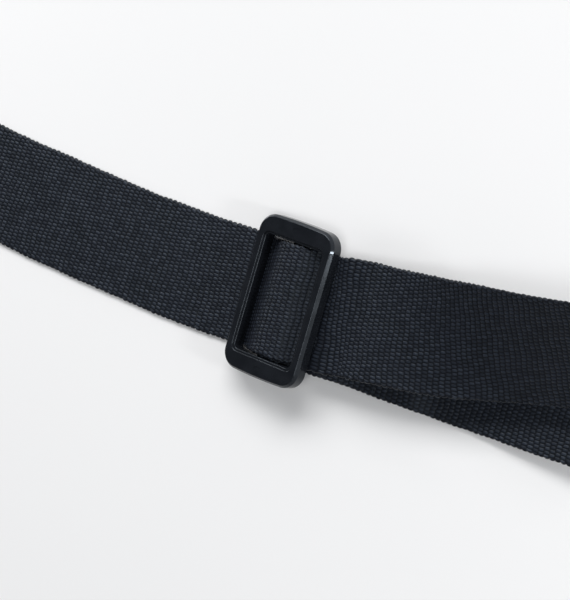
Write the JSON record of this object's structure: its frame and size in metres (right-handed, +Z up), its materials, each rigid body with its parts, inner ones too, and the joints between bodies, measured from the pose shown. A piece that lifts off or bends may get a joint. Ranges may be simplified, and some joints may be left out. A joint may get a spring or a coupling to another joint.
{
  "type": "webbing strap slider",
  "caption": "Moulded three-bar strap slider on flat webbing: one strand runs over the centre bar and adjusts, the other is sewn round the bar.",
  "frame": {"origin": "middle of the slider's centre bar, on the axis the frame tips about", "axes": "+X along the strap towards the two-strand side, +Y across the strap, +Z up; the slider lies tipped 10 degrees about Y, its +X side up"},
  "size_m": [0.2543, 0.0606, 0.0341],
  "materials": {
    "moulded_plastic": "semi-gloss black injection moulding",
    "webbing": "black twill-woven flat webbing",
    "thread": "black sewing thread"
  },
  "bodies": {
    "running_strand": {"running_strand_left": "webbing", "running_strand_right": "webbing"},
    "anchor_strand": {"anchor_strand": "webbing", "anchor_strand_tail": "webbing", "loop_stitching": "thread"},
    "slider": {"slider_frame": "moulded_plastic", "running_strand_over_bar": "webbing", "anchor_strand_loop": "webbing"}
  },
  "joints": [
    {"name": "slider_travel", "type": "slide", "parent": "running_strand", "child": "anchor_strand", "axis": [1, 0, 0], "range_m": [-0.015, 0.015], "deforming": ["running_strand_left", "running_strand_right"]},
    {"name": "frame_tilt", "type": "hinge", "parent": "anchor_strand", "child": "slider", "pos_m": [0, 0, 0], "axis": [0, 1, 0], "range_deg": [0, 10], "deforming": ["running_strand_left", "running_strand_right", "anchor_strand", "anchor_strand_tail"]}
  ]
}
